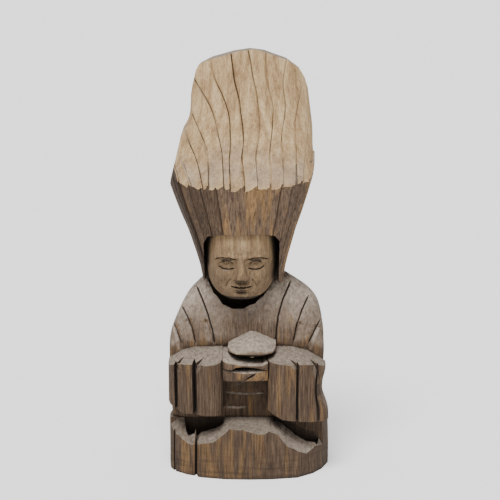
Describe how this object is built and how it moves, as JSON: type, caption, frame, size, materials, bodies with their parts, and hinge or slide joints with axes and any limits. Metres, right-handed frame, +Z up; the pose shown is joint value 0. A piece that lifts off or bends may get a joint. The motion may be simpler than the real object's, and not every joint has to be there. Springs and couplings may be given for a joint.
{
  "type": "carved ancestor figure",
  "caption": "Carved wooden half figure in a robe, holding a low faceted offering, with a very tall fluted headdress, on a block base.",
  "frame": {"origin": "on the resting plane, under the middle of the lap block", "axes": "+Z up, the figure faces -Y, +X is the figure's own left"},
  "size_m": [0.114, 0.086, 0.3],
  "materials": {
    "stained_wood": "matte",
    "dowel_wood": "matte"
  },
  "bodies": {
    "root": {"lap_block": "stained_wood", "torso_block": "stained_wood", "left_sleeve": "stained_wood", "right_sleeve": "stained_wood", "left_hand": "stained_wood", "right_hand": "stained_wood", "held_offering": "stained_wood", "head_block": "stained_wood", "headdress": "stained_wood", "lap_dowels": "dowel_wood", "sleeve_dowels": "dowel_wood", "hand_pegs": "dowel_wood", "offering_pin": "dowel_wood", "neck_dowel": "dowel_wood", "headdress_dowels": "dowel_wood"}
  },
  "joints": []
}
